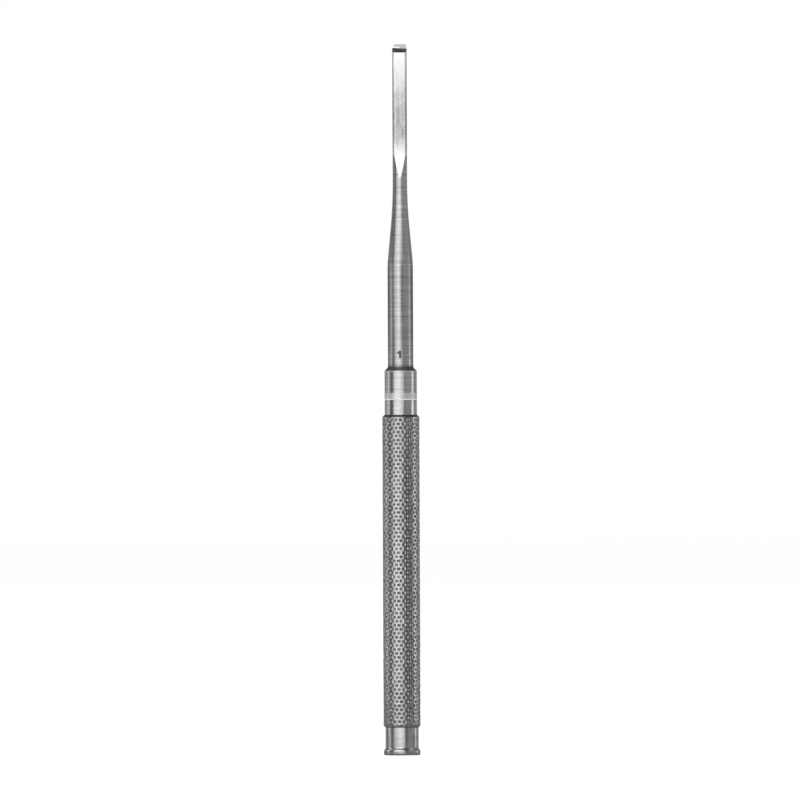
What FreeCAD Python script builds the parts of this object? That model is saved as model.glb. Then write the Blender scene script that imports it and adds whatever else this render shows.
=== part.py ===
import FreeCAD, Part
import math
import os
import Sketcher

# One-piece bone chisel, standing on its striking face at the origin with the cutting edge up +Z.
# The bevel and the front flat look along -Y.

# Driving dimensions: name, value in millimetres or degrees, what it measures
SIZES = [
    ("handle_diameter", 8.9, "over the points of the knurl and the rim of the head"),
    ("rim_height", 0.95, "striking face to the top of the rim"),
    ("rim_rounding", 0.4, "edge of the striking face"),
    ("cove_radius", 1.3, "hollow between rim and waist"),
    ("waist_relief", 0.13, "waist surface below the valleys of the knurl"),
    ("knurl_start", 7.1, "striking face to the lower end of the knurl"),
    ("knurl_length", 74.1, "lower end to upper end of the knurl"),
    ("knurl_pitch", 1.925, "along the axis, from one diamond to the next in line"),
    ("knurl_diamonds", 22, "diamonds in one row round the handle"),
    ("knurl_depth", 0.32, "points of the diamonds above the valleys"),
    ("collar_relief", 0.255, "collar surface below the valleys of the knurl"),
    ("collar_length", 11.4, "upper end of the knurl to the top of the collar"),
    ("collar_chamfer", 0.6, "upper edge of the collar, at 45 degrees"),
    ("collar_fillet", 0.2, "foot of the shank on the collar"),
    ("shank_relief", 0.825, "shank surface below the collar surface"),
    ("shank_length", 25.0, "top of the collar to the start of the neck taper"),
    ("shoulder_radius", 30.0, "rounding from shank into neck"),
    ("neck_length", 14.4, "start to end of the neck taper"),
    ("neck_radius", 120.0, "hollow from neck into blade"),
    ("blade_width", 3.46, "across the blade and its round root"),
    ("blade_thickness", 1.3, "front flat to back flat"),
    ("root_length", 13.9, "end of the neck taper to the flats, with their run-out"),
    ("flat_length", 24.1, "flats to the cutting edge"),
    ("runout_angle", 13.0, "steepest slope of the run-out"),
    ("runout_radius", 40.0, "run-out where it meets the round root"),
    ("edge_rounding", 0.4, "long edges of the blade"),
    ("bevel_angle", 34.0, "bevel against the back flat"),
    ("edge_land", 0.04, "thickness left at the cutting edge"),
]

# Radii and heights worked out from the sheet
HANDLE = "Sizes.handle_diameter / 2"
VALLEY = "(Sizes.handle_diameter / 2 - Sizes.knurl_depth)"
SPINDLE = VALLEY + " / 2"
WAIST = "(" + VALLEY + " - Sizes.waist_relief)"
COLLAR = "(" + VALLEY + " - Sizes.collar_relief)"
SHANK = "(" + COLLAR + " - Sizes.shank_relief)"
BLADE = "(Sizes.blade_width / 2)"
HALF_THICKNESS = "(Sizes.blade_thickness / 2)"

RIM_STEP = "(" + HANDLE + " - " + WAIST + ")"
COVE_FOOT = "(Sizes.rim_height + " + RIM_STEP + ")"
KNURL_TOP = "(Sizes.knurl_start + Sizes.knurl_length)"
COLLAR_TOP = "(" + KNURL_TOP + " + Sizes.collar_length)"
NECK_START = "(" + COLLAR_TOP + " + Sizes.shank_length)"
NECK_DROP = "(" + SHANK + " - " + BLADE + ")"
NECK_END = "(" + NECK_START + " + Sizes.neck_length)"
FLAT_START = "(" + NECK_END + " + Sizes.root_length)"
EDGE = "(" + FLAT_START + " + Sizes.flat_length)"

# Clear space that a cut takes beyond the surface it opens, and the blade it passes over
CUT_MARGIN = 1.0
RUNOUT_EXIT = 0.03


def limited(size, share, tangent_room, turn):
    """A rounding from the sheet, kept to a share of the side it runs along.

    turn is the angle by which the outline turns at that corner.
    """
    return f"min(Sizes.{size}; {share} * {tangent_room} / tan(({turn}) / 2))"


def make_sheet(doc):
    """The spreadsheet that holds the driving dimensions, one alias to a row."""
    sheet = doc.addObject("Spreadsheet::Sheet", "Sizes")
    for row, (alias, value, meaning) in enumerate(SIZES, start=1):
        sheet.set(f"A{row}", alias)
        sheet.set(f"B{row}", str(value))
        sheet.set(f"C{row}", meaning)
        sheet.setAlias(f"B{row}", alias)
    doc.recompute()
    return sheet


def number(sheet, expression):
    """The present value of a formula on the sheet's cells."""
    value = sheet.evalExpression(expression)
    return float(getattr(value, "Value", value))


def origin_feature(body, role):
    """The body's own origin plane or axis of that role."""
    return next(item for item in body.Origin.OriginFeatures if item.Role == role)


def new_sketch(body, name, plane):
    """An empty sketch on one of the body's origin planes."""
    sketch = body.newObject("Sketcher::SketchObject", name)
    sketch.AttachmentSupport = [(origin_feature(body, plane), "")]
    sketch.MapMode = "FlatFace"
    return sketch


def bind_coordinate(sketch, kind, geometry, label, expression, value):
    """Ties one coordinate of a corner to a formula, or to an axis where it is zero."""
    if value == 0:
        axis = -2 if kind == "DistanceX" else -1
        sketch.addConstraint(Sketcher.Constraint("PointOnObject", *geometry, axis))
        return
    ends = (-1, 1, *geometry) if value > 0 else (*geometry, -1, 1)
    sketch.addConstraint(Sketcher.Constraint(kind, *ends, abs(value)))
    name = f"{label}_{kind[-1].lower()}"
    sketch.renameConstraint(sketch.ConstraintCount - 1, name)
    signed = expression if value > 0 else f"-({expression})"
    sketch.setExpression(f"Constraints.{name}", signed)


def draw_outline(sketch, sheet, corners):
    """A closed outline of straight sides whose corners may be rounded.

    Each corner is a name, two coordinates and a rounding radius, all formulas. A rounded
    corner keeps its meeting point as construction, so every size is measured to corners.
    """
    names = [corner[0] for corner in corners]
    points = [FreeCAD.Vector(number(sheet, x), number(sheet, y), 0) for _, x, y, _ in corners]
    radii = [number(sheet, rounding) if rounding else 0.0 for _, _, _, rounding in corners]
    count = len(corners)

    starts, ends, arcs = list(points), list(points), {}
    for i in range(count):
        if radii[i] == 0:
            continue
        back = (points[i - 1] - points[i]).normalize()
        ahead = (points[(i + 1) % count] - points[i]).normalize()
        half_turn = (math.pi - back.getAngle(ahead)) / 2
        tangent = radii[i] * math.tan(half_turn)
        ends[i] = points[i] + back * tangent
        starts[i] = points[i] + ahead * tangent
        centre = points[i] + (back + ahead).normalize() * (radii[i] / math.cos(half_turn))
        arcs[i] = centre

    sides = []
    for i in range(count):
        following = (i + 1) % count
        sides.append(sketch.addGeometry(Part.LineSegment(starts[i], ends[following]), False))

    for i in range(count):
        before, after = sides[i - 1], sides[i]
        if i not in arcs:
            sketch.addConstraint(Sketcher.Constraint("Coincident", before, 2, after, 1))
            corner = (after, 1)
        else:
            corner = round_corner(sketch, before, after, arcs[i], ends[i], starts[i], radii[i])
            name = f"{names[i]}_radius"
            sketch.renameConstraint(sketch.ConstraintCount - 1, name)
            sketch.setExpression(f"Constraints.{name}", corners[i][3])
            point = sketch.addGeometry(Part.Point(points[i]), True)
            sketch.addConstraint(Sketcher.Constraint("PointOnObject", point, 1, before))
            sketch.addConstraint(Sketcher.Constraint("PointOnObject", point, 1, after))
            corner = (point, 1)
        bind_coordinate(sketch, "DistanceX", corner, names[i], corners[i][1], points[i].x)
        bind_coordinate(sketch, "DistanceY", corner, names[i], corners[i][2], points[i].y)


def round_corner(sketch, before, after, centre, first, last, radius):
    """An arc tangent to the two sides that meet at a corner, with its radius constrained."""
    turns_left = (first - centre).cross(last - centre).z > 0
    circle = Part.Circle(centre, FreeCAD.Vector(0, 0, 1), radius)
    low, high = (first, last) if turns_left else (last, first)
    angles = [math.atan2(point.y - centre.y, point.x - centre.x) for point in (low, high)]
    if angles[1] < angles[0]:
        angles[1] += 2 * math.pi
    arc = sketch.addGeometry(Part.ArcOfCircle(circle, *angles), False)
    first_end, last_end = (1, 2) if turns_left else (2, 1)
    sketch.addConstraint(Sketcher.Constraint("Tangent", before, 2, arc, first_end))
    sketch.addConstraint(Sketcher.Constraint("Tangent", arc, last_end, after, 1))
    sketch.addConstraint(Sketcher.Constraint("Radius", arc, radius))
    return arc


def turned_corners():
    """Half profile of the turned blank, from the striking face up: radius, height, rounding."""
    slant = f"sqrt({NECK_DROP} ^ 2 + Sizes.neck_length ^ 2)"
    neck_turn = f"atan({NECK_DROP} / Sizes.neck_length)"
    collar_ledge = "(Sizes.shank_relief - Sizes.collar_chamfer)"
    return [
        ("face_centre", "0", "0", None),
        ("face_edge", HANDLE, "0", limited("rim_rounding", 0.9, "Sizes.rim_height", "90 deg")),
        ("rim", HANDLE, "Sizes.rim_height", None),
        ("cove", WAIST, COVE_FOOT, limited("cove_radius", 0.95, f"{RIM_STEP} * sqrt(2)", "45 deg")),
        ("waist_top", WAIST, "Sizes.knurl_start", None),
        ("spindle_foot", SPINDLE, "Sizes.knurl_start", None),
        ("spindle_top", SPINDLE, KNURL_TOP, None),
        ("collar_foot", COLLAR, KNURL_TOP, None),
        ("collar_edge", COLLAR, f"{COLLAR_TOP} - Sizes.collar_chamfer", None),
        ("collar_top", f"{COLLAR} - Sizes.collar_chamfer", COLLAR_TOP, None),
        ("shank_foot", SHANK, COLLAR_TOP, limited("collar_fillet", 0.9, collar_ledge, "90 deg")),
        ("shoulder", SHANK, NECK_START, limited("shoulder_radius", 0.25, slant, neck_turn)),
        ("neck", BLADE, NECK_END, limited("neck_radius", 0.7, slant, neck_turn)),
        ("blade_corner", BLADE, EDGE, None),
        ("edge_centre", "0", EDGE, None),
    ]


def flat_corners():
    """What a flat takes off the front of the blade, seen from the side, with its run-out.

    The run-out leaves the flat as a ramp and comes out tangent to the round root, which
    leaves a straight-sided point on the surface.
    """
    flat = f"-{HALF_THICKNESS}"
    skim = f"({BLADE} + {RUNOUT_EXIT})"
    outside = f"-({BLADE} + {CUT_MARGIN})"
    above = f"({EDGE} + {CUT_MARGIN})"
    angle = "Sizes.runout_angle * 1 deg"
    depth = f"({skim} - {HALF_THICKNESS})"
    ramp_foot = f"({FLAT_START} - {depth} / tan({angle}))"
    radius = limited("runout_radius", 0.95, f"{depth} / sin({angle})", angle)
    bottom = f"({ramp_foot} - 1.1 * {radius} * tan({angle} / 2))"
    return [
        ("flat_above", flat, above, None),
        ("ramp_top", flat, FLAT_START, None),
        ("ramp_foot", f"-{skim}", ramp_foot, radius),
        ("skim_end", f"-{skim}", bottom, None),
        ("outside_low", outside, bottom, None),
        ("outside_high", outside, above, None),
    ]


def bevel_corners():
    """What the single bevel takes off the front, seen from the side."""
    slope = "tan(Sizes.bevel_angle * 1 deg)"
    above = f"({EDGE} + {CUT_MARGIN})"
    outside = f"-({BLADE} + {CUT_MARGIN})"
    land = f"({HALF_THICKNESS} - Sizes.edge_land)"
    heel = f"({EDGE} - ({land} + {BLADE} + {CUT_MARGIN}) / {slope})"
    return [
        ("bevel_high", f"({land} + {CUT_MARGIN} * {slope})", above, None),
        ("bevel_low", outside, heel, None),
        ("bevel_outside", outside, above, None),
    ]


def cut_across(body, name, sketch):
    """Cuts a side outline right through the blade from edge to edge."""
    before = body.Shape.Volume
    pocket = body.newObject("PartDesign::Pocket", name)
    pocket.Profile = sketch
    pocket.SideType = "Symmetric"
    pocket.setExpression("Length", f"Sizes.blade_width + 2 * {CUT_MARGIN}")
    body.Document.recompute()
    if body.Shape.Volume >= before:
        raise RuntimeError(f"{name} cuts nothing")
    return pocket


def long_edges(shape, sheet):
    """Names of the straight edges where the flats meet the round sides of the blade."""
    half_thickness = number(sheet, HALF_THICKNESS)
    names = []
    for index, edge in enumerate(shape.Edges, start=1):
        box = edge.BoundBox
        on_flat = box.YLength < 1e-6 and abs(abs(box.Center.y) - half_thickness) < 1e-6
        if on_flat and box.XLength < 1e-6 and box.ZLength > half_thickness:
            names.append(f"Edge{index}")
    return names


def make_blank(doc, sheet):
    """The chisel without its knurl: turned blank, two flats, bevel and rounded blade edges."""
    body = doc.addObject("PartDesign::Body", "Blank")
    body.Label = "turned_and_ground_blank"

    profile = new_sketch(body, "turned_profile", "XZ_Plane")
    draw_outline(profile, sheet, turned_corners())
    turning = body.newObject("PartDesign::Revolution", "turning")
    turning.Profile = profile
    turning.ReferenceAxis = (profile, ["V_Axis"])
    turning.Angle = 360
    doc.recompute()

    flat_outline = new_sketch(body, "flat_outline", "YZ_Plane")
    draw_outline(flat_outline, sheet, flat_corners())
    front_flat = cut_across(body, "front_flat", flat_outline)

    back_flat = body.newObject("PartDesign::Mirrored", "back_flat")
    back_flat.Originals = [front_flat]
    back_flat.MirrorPlane = (origin_feature(body, "XZ_Plane"), [""])
    body.Tip = back_flat
    doc.recompute()

    rounding = body.newObject("PartDesign::Fillet", "long_edge_rounding")
    rounding.Base = (back_flat, long_edges(back_flat.Shape, sheet))
    rounding.setExpression("Radius", "Sizes.edge_rounding")
    doc.recompute()

    bevel_outline = new_sketch(body, "bevel_outline", "YZ_Plane")
    draw_outline(bevel_outline, sheet, bevel_corners())
    cut_across(body, "bevel", bevel_outline)
    return body


def knurl_vertices(sheet, rows, columns):
    """Points and valleys of the knurl on a grid of rows and columns, as a checkerboard.

    A point stands where row and column are both even or both odd, and a valley crossing
    everywhere else. The first and last rows are all valley, where the knurl dies out.
    """
    point_radius = number(sheet, HANDLE)
    valley_radius = number(sheet, VALLEY)
    step = sheet.knurl_length / rows
    vertices = []
    for row in range(rows + 1):
        inside = 0 < row < rows
        for column in range(columns):
            stands = inside and (row + column) % 2 == 0
            radius = point_radius if stands else valley_radius
            angle = 2 * math.pi * column / columns
            height = sheet.knurl_start + step * row
            vertices.append(FreeCAD.Vector(radius * math.cos(angle), radius * math.sin(angle), height))
    return vertices


def knurl_facets(rows, columns):
    """Two triangles to each cell of the grid, folded along the valley between its corners."""
    facets = []
    for row in range(rows):
        for column in range(columns):
            near = row * columns + column
            far = row * columns + (column + 1) % columns
            above_near = near + columns
            above_far = far + columns
            if (row + column) % 2 == 0:
                facets += [(near, far, above_near), (far, above_far, above_near)]
            else:
                facets += [(near, far, above_far), (near, above_far, above_near)]
    return facets


def knurl_solid(sheet):
    """The knurled length of the handle: a bar whose surface is rows of pyramids.

    Straight valleys cross round the bar both ways, as two knurling wheels roll them.
    """
    rows = max(2, round(2 * sheet.knurl_length / sheet.knurl_pitch))
    columns = 2 * max(3, round(sheet.knurl_diamonds))
    vertices = knurl_vertices(sheet, rows, columns)
    wall = Part.Shape()
    wall.makeShapeFromMesh((vertices, knurl_facets(rows, columns)), 0.001)
    lower = vertices[:columns]
    upper = vertices[-columns:]
    caps = [Part.Face(Part.makePolygon(rim + rim[:1])) for rim in (lower, upper)]
    shell = Part.makeShell(wall.Faces + caps)
    shell.sewShape()
    return Part.Solid(shell)


def make_knurl(doc, sheet):
    """The knurl as an object of the document, its sizes read from the sheet."""
    knurl = doc.addObject("Part::Feature", "Knurl")
    knurl.Label = "diamond_knurl"
    knurl.Shape = knurl_solid(sheet)
    knurl.Placement = FreeCAD.Placement()
    return knurl


def make_chisel(doc, blank, knurl):
    """The whole chisel: blank and knurl as one solid."""
    chisel = doc.addObject("Part::Fuse", "Chisel")
    chisel.Label = "bone_chisel"
    chisel.Base = blank
    chisel.Tool = knurl
    chisel.Refine = False
    doc.recompute()
    return chisel


def check_document(doc):
    """Stops if any object failed or any solid is missing or broken."""
    for item in doc.Objects:
        if "Invalid" in item.State or "Error" in item.State:
            raise RuntimeError(f"{item.Name} failed: {item.State}")
    for item in doc.Objects:
        if item.isDerivedFrom("Part::Feature") and (item.Shape.isNull() or not item.Shape.isValid()):
            raise RuntimeError(f"{item.Name} has no valid shape")


def main():
    doc = FreeCAD.newDocument("bone_chisel")
    sheet = make_sheet(doc)
    blank = make_blank(doc, sheet)
    knurl = make_knurl(doc, sheet)
    chisel = make_chisel(doc, blank, knurl)
    check_document(doc)
    if len(chisel.Shape.Solids) != 1:
        raise RuntimeError("the chisel is not one solid")
    os.makedirs("parts", exist_ok=True)
    chisel.Shape.exportStep(f"parts/{chisel.Label}.step")
    print(f"{chisel.Label}: {chisel.Shape.Volume:.1f} mm3, {len(chisel.Shape.Faces)} faces")


main()
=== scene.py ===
"""Looks of a one-piece bone chisel: turned, knurled and ground from stainless steel bar.

The chisel stands on its striking face with the cutting edge up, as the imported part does. Each
class below is one length of the tool. It holds its sizes in metres, builds its surface as a
closed mesh and dresses it. The last classes are the studio: floor, light tent, lamps, camera.
"""
import logging
import math
from dataclasses import dataclass
from enum import Enum
from typing import Any, Sequence

import bpy
import numpy as np
from mathutils import Matrix, Vector


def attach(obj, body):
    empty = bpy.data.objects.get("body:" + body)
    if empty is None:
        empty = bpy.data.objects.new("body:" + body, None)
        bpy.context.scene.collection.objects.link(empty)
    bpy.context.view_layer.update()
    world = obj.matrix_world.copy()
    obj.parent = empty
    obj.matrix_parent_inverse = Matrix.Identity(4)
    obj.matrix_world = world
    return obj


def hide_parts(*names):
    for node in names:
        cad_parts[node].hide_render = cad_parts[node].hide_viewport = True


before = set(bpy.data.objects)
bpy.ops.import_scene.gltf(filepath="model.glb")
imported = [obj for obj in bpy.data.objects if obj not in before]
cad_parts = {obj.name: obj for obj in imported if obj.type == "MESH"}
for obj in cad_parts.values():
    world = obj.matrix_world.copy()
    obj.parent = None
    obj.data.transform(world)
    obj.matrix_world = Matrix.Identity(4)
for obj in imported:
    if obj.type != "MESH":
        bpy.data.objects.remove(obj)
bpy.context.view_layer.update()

CAD_NODE = "bone_chisel"
BODY = "root"
MM = 0.001
SEED = 20
WHITE = (1, 1, 1, 1)

logging.basicConfig(level=logging.INFO, format="%(message)s")
LOG = logging.getLogger("bone_chisel")

Array = np.ndarray
Piece = bpy.types.Object
Material = bpy.types.Material
Node = bpy.types.Node
Socket = bpy.types.NodeSocket


# Shapes

@dataclass(frozen=True)
class Corner:
    """One corner of a turned outline: radius, height, and the rounding it gets, in metres."""

    radius: float
    height: float
    rounding: float = 0.0


def rounded_outline(corners: Sequence[Corner], arc_points: int = 9) -> Array:
    """Draws a turned outline whose corners are rounded by tangent arcs.

    At a corner with rounding R and half turn h, the arc starts R*tan(h) before the corner and
    its centre lies R/cos(h) from it, on the line that halves the corner.

    Args:
        corners: the outline's corners, in order.
        arc_points: points along each rounding.

    Returns:
        An array of (radius, height) pairs.
    """
    places = [np.array([corner.radius, corner.height]) for corner in corners]
    pieces = []
    for i, corner in enumerate(corners):
        if corner.rounding == 0:
            pieces.append(places[i][None])
            continue
        back = places[i - 1] - places[i]
        ahead = places[i + 1] - places[i]
        back /= np.linalg.norm(back)
        ahead /= np.linalg.norm(ahead)
        half_turn = (math.pi - math.acos(float(back @ ahead))) / 2
        halfway = (back + ahead) / np.linalg.norm(back + ahead)
        centre = places[i] + halfway * corner.rounding / math.cos(half_turn)
        first = places[i] + back * corner.rounding * math.tan(half_turn) - centre
        last = places[i] + ahead * corner.rounding * math.tan(half_turn) - centre
        share = np.linspace(0, 1, arc_points)[:, None]
        turn = 2 * half_turn
        arc = (np.sin((1 - share) * turn) * first + np.sin(share * turn) * last) / math.sin(turn)
        pieces.append(centre + arc)
    return np.vstack(pieces)


def divided(outline: Array, longest: float) -> Array:
    """Puts extra points on an outline's long straights.

    Args:
        outline: (radius, height) pairs.
        longest: the longest step that stays whole, in metres.

    Returns:
        The outline with every step at most that long.
    """
    steps = np.linalg.norm(np.diff(outline, axis=0), axis=1)
    along = np.concatenate([[0.0], np.cumsum(steps)])
    counts = np.maximum(np.ceil(np.diff(along) / longest), 1).astype(int) + 1
    extra = [np.linspace(*span) for span in zip(along[:-1], along[1:], counts)]
    places = np.unique(np.concatenate(extra))
    return np.column_stack([np.interp(places, along, outline[:, k]) for k in (0, 1)])


def around(angles: Array, radii: Array, heights: Array) -> Array:
    """Places points round the axis.

    A point at angle a stands at (R*sin a, -R*cos a): the front, -Y, is angle 0, and the angle
    grows towards +X.

    Args:
        angles: angles in radians, one to a column.
        radii: distances from the axis, a row and a column each.
        heights: heights, of a shape that fits the radii.

    Returns:
        An array of points, rows by columns by 3.
    """
    radii, heights, angles = np.broadcast_arrays(radii, heights, angles)
    return np.stack([radii * np.sin(angles), -radii * np.cos(angles), heights], axis=-1)


def smooth_step(low: float, high: float, values: Array) -> Array:
    """Rises from 0 at low to 1 at high as 3t^2 - 2t^3, with t the share of the way."""
    share = np.clip((values - low) / (high - low), 0, 1)
    return share * share * (3 - 2 * share)


def ring_quads(rows: int, columns: int) -> Array:
    """Faces between the rings of a closed grid.

    Args:
        rows: rings of the grid, from the bottom up.
        columns: points in each ring.

    Returns:
        Quads, as four point numbers each.
    """
    row, column = np.meshgrid(np.arange(rows - 1), np.arange(columns), indexing="ij")
    near = row * columns + column
    far = row * columns + (column + 1) % columns
    return np.stack([near, far, far + columns, near + columns], axis=-1).reshape(-1, 4)


def strip_quads(rows: int, columns: int) -> Array:
    """Faces between the rows of an open grid, as four point numbers each."""
    return ring_quads(rows, columns).reshape(rows - 1, columns, 4)[:, :-1].reshape(-1, 4)


def make_piece(name: str, points: Array, faces: Sequence[Array], sharp: float) -> Piece:
    """Makes a mesh object from points and faces.

    Args:
        name: the object's name.
        points: an array of points, each of 3 numbers.
        faces: arrays of point numbers, one array for each count of corners.
        sharp: the angle in degrees past which an edge shades as sharp.

    Returns:
        The linked object.
    """
    mesh = bpy.data.meshes.new(name)
    listed = [face for group in faces for face in group.tolist()]
    mesh.from_pydata(points.reshape(-1, 3).tolist(), [], listed)
    mesh.polygons.foreach_set("use_smooth", np.ones(len(mesh.polygons), bool))
    mesh.set_sharp_from_angle(angle=math.radians(sharp))
    mesh.update()
    piece = bpy.data.objects.new(name, mesh)
    bpy.context.scene.collection.objects.link(piece)
    return piece


def fan(ring: Array, pole: int, upward: bool) -> Array:
    """Triangles from a ring of points to a pole.

    Args:
        ring: numbers of the ring's points, in order.
        pole: number of the pole's point.
        upward: whether they face up.

    Returns:
        The triangles, as three point numbers each.
    """
    following = np.roll(ring, -1)
    pair = (ring, following) if upward else (following, ring)
    return np.stack([np.full_like(ring, pole), *pair], axis=-1)


def closed_tube(name: str, grid: Array, sharp: float, quads: Array | None = None) -> Piece:
    """Closes a grid of rings into a solid with a pole at each end.

    Args:
        name: the object's name.
        grid: points, rows from the bottom up by columns by 3.
        sharp: the angle in degrees past which an edge shades as sharp.
        quads: faces between the rings, where they aren't plain quads.

    Returns:
        The linked object.
    """
    rows, columns = grid.shape[:2]
    poles = np.array([grid[0].mean(axis=0), grid[-1].mean(axis=0)])
    points = np.vstack([grid.reshape(-1, 3), poles])
    lower = np.arange(columns)
    upper = lower + (rows - 1) * columns
    count = rows * columns
    wall = ring_quads(rows, columns) if quads is None else quads
    ends = np.vstack([fan(lower, count, False), fan(upper, count + 1, True)])
    return make_piece(name, points, [wall, ends], sharp)


def set_values(piece: Piece, name: str, values: Array) -> None:
    """Writes one number to each point of a piece, padded with 0 for its last points.

    Args:
        piece: the piece.
        name: the name that its materials read the numbers by.
        values: one number to each of the first points.
    """
    padded = np.zeros(len(piece.data.vertices), np.float32)
    padded[: values.size] = values.ravel()
    piece.data.attributes.new(name, "FLOAT", "POINT").data.foreach_set("value", padded)


def face_vectors(piece: Piece, name: str) -> Array:
    """Reads one vector of each face of a piece.

    Args:
        piece: the piece.
        name: which vector, center or normal.

    Returns:
        The vectors, faces by 3.
    """
    vectors = np.zeros(len(piece.data.polygons) * 3)
    piece.data.polygons.foreach_get(name, vectors)
    return vectors.reshape(-1, 3)


def join_chisel(piece: Piece, materials: Sequence[Material]) -> None:
    """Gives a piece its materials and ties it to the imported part.

    Args:
        piece: the finished piece.
        materials: its materials, in the order of its faces' numbers.
    """
    for material in materials:
        piece.data.materials.append(material)
    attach(piece, BODY)
    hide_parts(CAD_NODE)
    LOG.info("%s: %d faces", piece.name, len(piece.data.polygons))


# Finishes

class Graph:
    """A node tree with a short way to add nodes."""

    def __init__(self, tree: bpy.types.NodeTree) -> None:
        """Keeps the tree that nodes are added to."""
        self.tree = tree

    def add(self, kind: str, inputs: dict[Any, Any] | None = None, **settings: Any) -> Node:
        """Adds a node.

        Args:
            kind: the node's type.
            inputs: what goes into its inputs, a socket or a constant to each.
            **settings: the node's own settings.

        Returns:
            The node.
        """
        node = self.tree.nodes.new(kind)
        for name, value in settings.items():
            setattr(node, name, value)
        for socket, value in (inputs or {}).items():
            if isinstance(value, Socket):
                self.tree.links.new(value, node.inputs[socket])
            else:
                node.inputs[socket].default_value = value
        return node

    def maths(self, operation: str, first: Any, second: Any = 0.0) -> Socket:
        """One step of arithmetic on two numbers or sockets."""
        return self.add("ShaderNodeMath", {0: first, 1: second}, operation=operation).outputs[0]

    def span(self, value: Any, low: float, high: float, start: float, end: float) -> Socket:
        """Carries low..high to start..end, held at both ends."""
        inputs = {"Value": value, "From Min": low, "From Max": high, "To Min": start, "To Max": end}
        return self.add("ShaderNodeMapRange", inputs).outputs["Result"]

    def blend(self, share: Any, first: Any, second: Any) -> Socket:
        """Mixes two colours, which the node keeps at inputs 6 and 7 and at output 2."""
        inputs = {0: share, 6: first, 7: second}
        return self.add("ShaderNodeMix", inputs, data_type="RGBA").outputs[2]

    def noise(self, vector: Socket, scale: Any, detail: float, roughness: float = 0.5) -> Socket:
        """Noise between 0 and 1 about a middle of one half."""
        inputs = {"Vector": vector, "Scale": scale, "Detail": detail, "Roughness": roughness}
        return self.add("ShaderNodeTexNoise", inputs).outputs[0]

    def stretched(self, vector: Any, across: Any, along: Any) -> Socket:
        """Scales a vector by one number in X and Y and by another in Z.

        Args:
            vector: the vector.
            across: the scale in X and Y.
            along: the scale in Z.

        Returns:
            The scaled vector.
        """
        scale = self.add("ShaderNodeCombineXYZ", {"X": across, "Y": across, "Z": along}).outputs[0]
        inputs = {0: vector, 1: scale}
        return self.add("ShaderNodeVectorMath", inputs, operation="MULTIPLY").outputs[0]


def fresh_graph(owner: Material | bpy.types.World) -> Graph:
    """Gives a new material or world an empty node tree.

    Args:
        owner: the material or world.

    Returns:
        The tree, as a graph.
    """
    owner.use_nodes = True
    owner.node_tree.nodes.clear()
    return Graph(owner.node_tree)


def new_group(
    name: str, inputs: dict[str, tuple[str, Any]], outputs: Sequence[str]
) -> tuple[Graph, Node, Node]:
    """Starts a shader node group.

    Args:
        name: the group's name.
        inputs: each input's name, with its kind and starting value.
        outputs: names of the outputs, all of them numbers.

    Returns:
        The group's graph, its input node and its output node.
    """
    tree = bpy.data.node_groups.new(name, "ShaderNodeTree")
    for label, (kind, start) in inputs.items():
        socket = tree.interface.new_socket(label, in_out="INPUT", socket_type=f"NodeSocket{kind}")
        if start is not None:
            socket.default_value = start
    for label in outputs:
        tree.interface.new_socket(label, in_out="OUTPUT", socket_type="NodeSocketFloat")
    graph = Graph(tree)
    return graph, graph.add("NodeGroupInput"), graph.add("NodeGroupOutput")


def tool_lines_group() -> bpy.types.NodeTree:
    """Fine lines left by a turning tool or a grinding belt.

    Two noises stretched along the lines are added, 0.6 of a coarse one and 0.4 of a fine
    one. Lines run round the bar where Along is far above Across, and lengthwise where it
    is far below.

    Returns:
        The group's node tree.
    """
    inputs = {"Vector": ("Vector", None), "Across": ("Float", 40.0), "Along": ("Float", 3000.0)}
    graph, source, sink = new_group("tool_lines", inputs, ["Lines"])
    place = graph.stretched(*(source.outputs[name] for name in inputs))
    coarse = graph.maths("MULTIPLY", graph.noise(place, 1.0, 3.0), 0.6)
    fine = graph.maths("MULTIPLY", graph.noise(place, 3.7, 2.0), 0.4)
    graph.tree.links.new(graph.maths("ADD", coarse, fine), sink.inputs["Lines"])
    return graph.tree


def handling_group() -> bpy.types.NodeTree:
    """Marks of use: cloudy smudges, and hairlines where a bent noise crosses its middle.

    Returns:
        The group's node tree.
    """
    inputs = {
        "Vector": ("Vector", None),
        "Cloud Scale": ("Float", 160.0),
        "Scratch Scale": ("Float", 420.0),
    }
    graph, source, sink = new_group("handling_marks", inputs, ["Smudges", "Scratches"])
    vector = source.outputs["Vector"]
    clouds = graph.noise(vector, source.outputs["Cloud Scale"], 4.0, 0.6)
    smudges = graph.span(clouds, 0.35, 0.7, 0.0, 1.0)
    slanted = graph.stretched(vector, 1.0, 0.28)
    bent = graph.noise(slanted, source.outputs["Scratch Scale"], 1.0)
    off_middle = graph.maths("ABSOLUTE", graph.maths("SUBTRACT", bent, 0.5))
    hairlines = graph.span(off_middle, 0.0, 0.006, 1.0, 0.0)
    patches = graph.span(graph.noise(vector, 90.0, 2.0), 0.52, 0.62, 0.0, 1.0)
    graph.tree.links.new(smudges, sink.inputs["Smudges"])
    graph.tree.links.new(graph.maths("MULTIPLY", hairlines, patches), sink.inputs["Scratches"])
    return graph.tree


class Grain(Enum):
    """Which way the fine scratches of a finish run, with the turn of its stretched gloss."""

    ROUND = 0.25
    LENGTHWISE = 0.0


class Effects:
    """The node groups that the finishes share, each built once."""

    def __init__(self) -> None:
        """Builds the groups."""
        self.tool_lines = tool_lines_group()
        self.handling = handling_group()


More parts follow.
